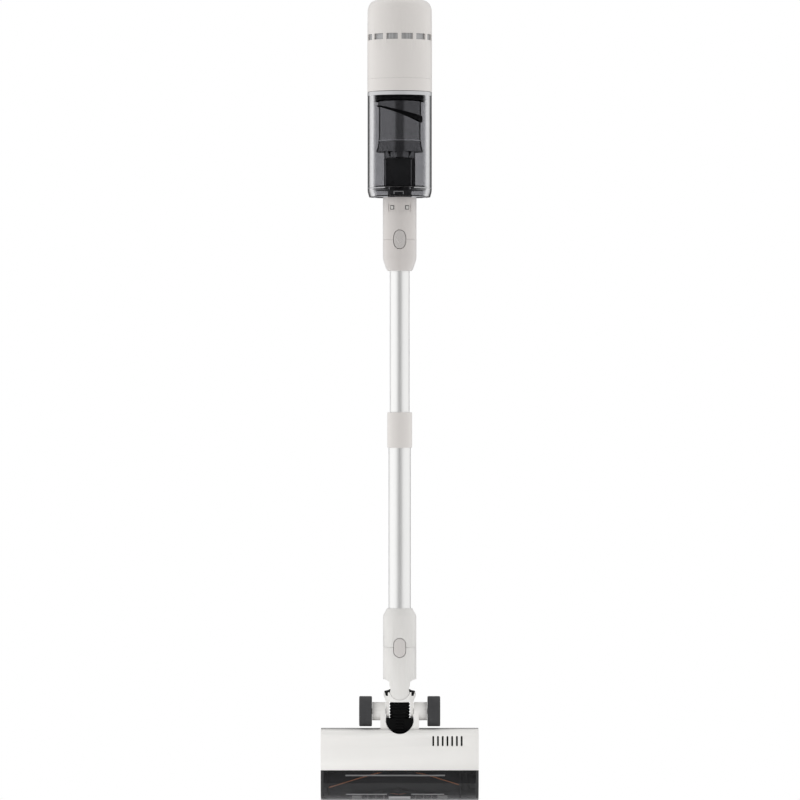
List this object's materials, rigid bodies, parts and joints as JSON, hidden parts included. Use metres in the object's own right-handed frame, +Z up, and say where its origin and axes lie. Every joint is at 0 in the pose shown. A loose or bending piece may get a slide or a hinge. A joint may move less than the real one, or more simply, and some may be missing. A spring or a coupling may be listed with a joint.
{
  "type": "cordless stick vacuum",
  "caption": "Upright cordless stick vacuum with round motor unit, clear dust cup, telescopic metal wand and hinged motorised floor head.",
  "frame": {"origin": "mouth of the wall-hook socket at the top of the back of the grip", "axes": "+Z up along the wand, +Y backwards out of the wall-hook socket towards the wall, +X to the right seen from the front"},
  "size_m": [0.2284, 0.1588, 1.161],
  "materials": {
    "cream_shell": "satin moulded",
    "white_shell": "satin moulded",
    "dark_plastic": "satin black",
    "grey_plastic": "satin dark grey",
    "lip_grey": "satin mid grey",
    "clear_smoke": "clear smoked, polished",
    "black_rubber": "soft black",
    "wheel_rubber": "dark grey tread",
    "mesh_steel": "fine perforated mesh",
    "steel": "turned",
    "motor_can": "zinc plated can",
    "copper_winding": "enamelled winding",
    "tube_aluminium": "polished satin",
    "filter_paper": "pleated",
    "filter_foam": "open foam",
    "board_green": "solder mask",
    "cell_wrap": "shrink wrap",
    "brush_dark": "nylon"
  },
  "bodies": {
    "main_unit": {"motor_housing": "cream_shell", "bayonet_ring": "cream_shell", "exhaust_grille": "grey_plastic", "hepa_filter": "filter_paper", "motor_frame": "dark_plastic", "motor_stator": "copper_winding", "circuit_board": "board_green", "filter_frame": "dark_plastic", "cup_seal": "black_rubber", "filter_shroud": "dark_plastic", "mesh_filter": "mesh_steel", "foam_filter": "filter_foam", "filter_skirt": "dark_plastic", "handle_left": "cream_shell", "handle_right": "cream_shell", "hook_bush": "steel", "battery_case": "cream_shell", "battery_cells": "cell_wrap", "charge_socket": "dark_plastic", "handle_screws": "steel"},
    "motor_rotor": {"motor_rotor": "steel"},
    "power_button": {"power_button": "grey_plastic"},
    "mode_button": {"mode_button": "grey_plastic"},
    "cup_release_button": {"cup_release_button": "grey_plastic"},
    "cup": {"dust_cup": "clear_smoke", "inlet_duct": "dark_plastic"},
    "inlet_flap": {"inlet_flap": "black_rubber"},
    "wand_upper": {"adapter_upper": "cream_shell", "adapter_lower": "cream_shell", "contact_pads": "steel", "wand_seal": "black_rubber", "upper_tube": "tube_aluminium"},
    "upper_release_button": {"upper_release_button": "cream_shell"},
    "wand_lower": {"tube_collar": "cream_shell", "collar_bush": "dark_plastic", "lower_tube": "tube_aluminium"},
    "collar_button": {"collar_button": "cream_shell"},
    "connector": {"connector_upper": "white_shell", "connector_lower": "white_shell"},
    "lower_release_button": {"lower_release_button": "white_shell"},
    "yoke": {"yoke": "white_shell", "yoke_liner": "dark_plastic", "swivel_pins": "steel"},
    "head": {"hose": "black_rubber", "hose_cuff": "black_rubber", "head_neck": "white_shell", "axle_pins": "steel", "head_cover": "white_shell", "head_base": "grey_plastic", "window": "clear_smoke", "front_lip": "lip_grey", "head_duct": "dark_plastic", "head_motor": "motor_can", "drive_belt": "black_rubber"},
    "wheel_left": {"wheel_left": "wheel_rubber"},
    "wheel_right": {"wheel_right": "wheel_rubber"},
    "brush": {"brush_roll": "brush_dark"},
    "motor_pinion": {"motor_pinion": "steel"},
    "end_lock": {"end_lock": "grey_plastic"},
    "sole_rollers": {"sole_rollers": "grey_plastic"}
  },
  "joints": [
    {"name": "motor_spin", "type": "hinge", "parent": "main_unit", "child": "motor_rotor", "pos_m": [0, -0.112, -0.053], "axis": [0, 0, 1], "continuous": true},
    {"name": "power_press", "type": "slide", "parent": "main_unit", "child": "power_button", "axis": [0, 0, -1], "range_m": [0, 0.0015], "stiffness_N_per_m": 500},
    {"name": "mode_press", "type": "slide", "parent": "main_unit", "child": "mode_button", "axis": [0, 0, -1], "range_m": [0, 0.0015], "stiffness_N_per_m": 500},
    {"name": "cup_release_press", "type": "slide", "parent": "main_unit", "child": "cup_release_button", "axis": [0, -1, 0], "range_m": [0, 0.0015], "stiffness_N_per_m": 500},
    {"name": "cup_slide", "type": "slide", "parent": "main_unit", "child": "cup", "axis": [0, 0, -1], "range_m": [0, 0.1]},
    {"name": "flap_hinge", "type": "hinge", "parent": "cup", "child": "inlet_flap", "pos_m": [0, -0.0941, -0.2015], "axis": [1, 0, 0], "range_deg": [0, 45], "stiffness_Nm_per_rad": 0.0008},
    {"name": "wand_slide", "type": "slide", "parent": "cup", "child": "wand_upper", "axis": [0, 0, -1], "range_m": [0, 0.05]},
    {"name": "upper_release_press", "type": "slide", "parent": "wand_upper", "child": "upper_release_button", "axis": [0, 1, 0], "range_m": [0, 0.002], "stiffness_N_per_m": 500},
    {"name": "telescope_slide", "type": "slide", "parent": "wand_upper", "child": "wand_lower", "axis": [0, 0, 1], "range_m": [0, 0.195]},
    {"name": "collar_press", "type": "slide", "parent": "wand_lower", "child": "collar_button", "axis": [0, -1, 0], "range_m": [0, 0.0015], "stiffness_N_per_m": 500},
    {"name": "connector_slide", "type": "slide", "parent": "wand_lower", "child": "connector", "axis": [0, 0, -1], "range_m": [0, 0.04]},
    {"name": "lower_release_press", "type": "slide", "parent": "connector", "child": "lower_release_button", "axis": [0, 1, 0], "range_m": [0, 0.002], "stiffness_N_per_m": 500},
    {"name": "stick_swivel", "type": "hinge", "parent": "connector", "child": "yoke", "pos_m": [0, -0.112, -0.9659], "axis": [0, 1, 0], "range_deg": [-25, 25]},
    {"name": "neck_pitch", "type": "hinge", "parent": "yoke", "child": "head", "pos_m": [0, -0.112, -0.9985], "axis": [-1, 0, 0], "range_deg": [0, 90], "deforming": ["hose"]},
    {"name": "wheel_left_spin", "type": "hinge", "parent": "head", "child": "wheel_left", "pos_m": [-0.049, -0.112, -0.9985], "axis": [1, 0, 0], "continuous": true},
    {"name": "wheel_right_spin", "type": "hinge", "parent": "head", "child": "wheel_right", "pos_m": [0.049, -0.112, -0.9985], "axis": [1, 0, 0], "continuous": true},
    {"name": "brush_spin", "type": "hinge", "parent": "head", "child": "brush", "pos_m": [0, -0.113, -1.1004], "axis": [1, 0, 0], "continuous": true},
    {"name": "pinion_spin", "type": "hinge", "parent": "head", "child": "motor_pinion", "pos_m": [0.095, -0.116, -1.046], "axis": [1, 0, 0], "continuous": true},
    {"name": "end_lock_turn", "type": "hinge", "parent": "head", "child": "end_lock", "pos_m": [-0.112, -0.113, -1.1004], "axis": [1, 0, 0], "range_deg": [0, 60]},
    {"name": "sole_roller_spin", "type": "hinge", "parent": "head", "child": "sole_rollers", "pos_m": [0, -0.0954, -1.061], "axis": [1, 0, 0], "continuous": true}
  ],
  "couplings": [
    {"joint": "pinion_spin", "follows": "brush_spin", "ratio": 2.2}
  ]
}
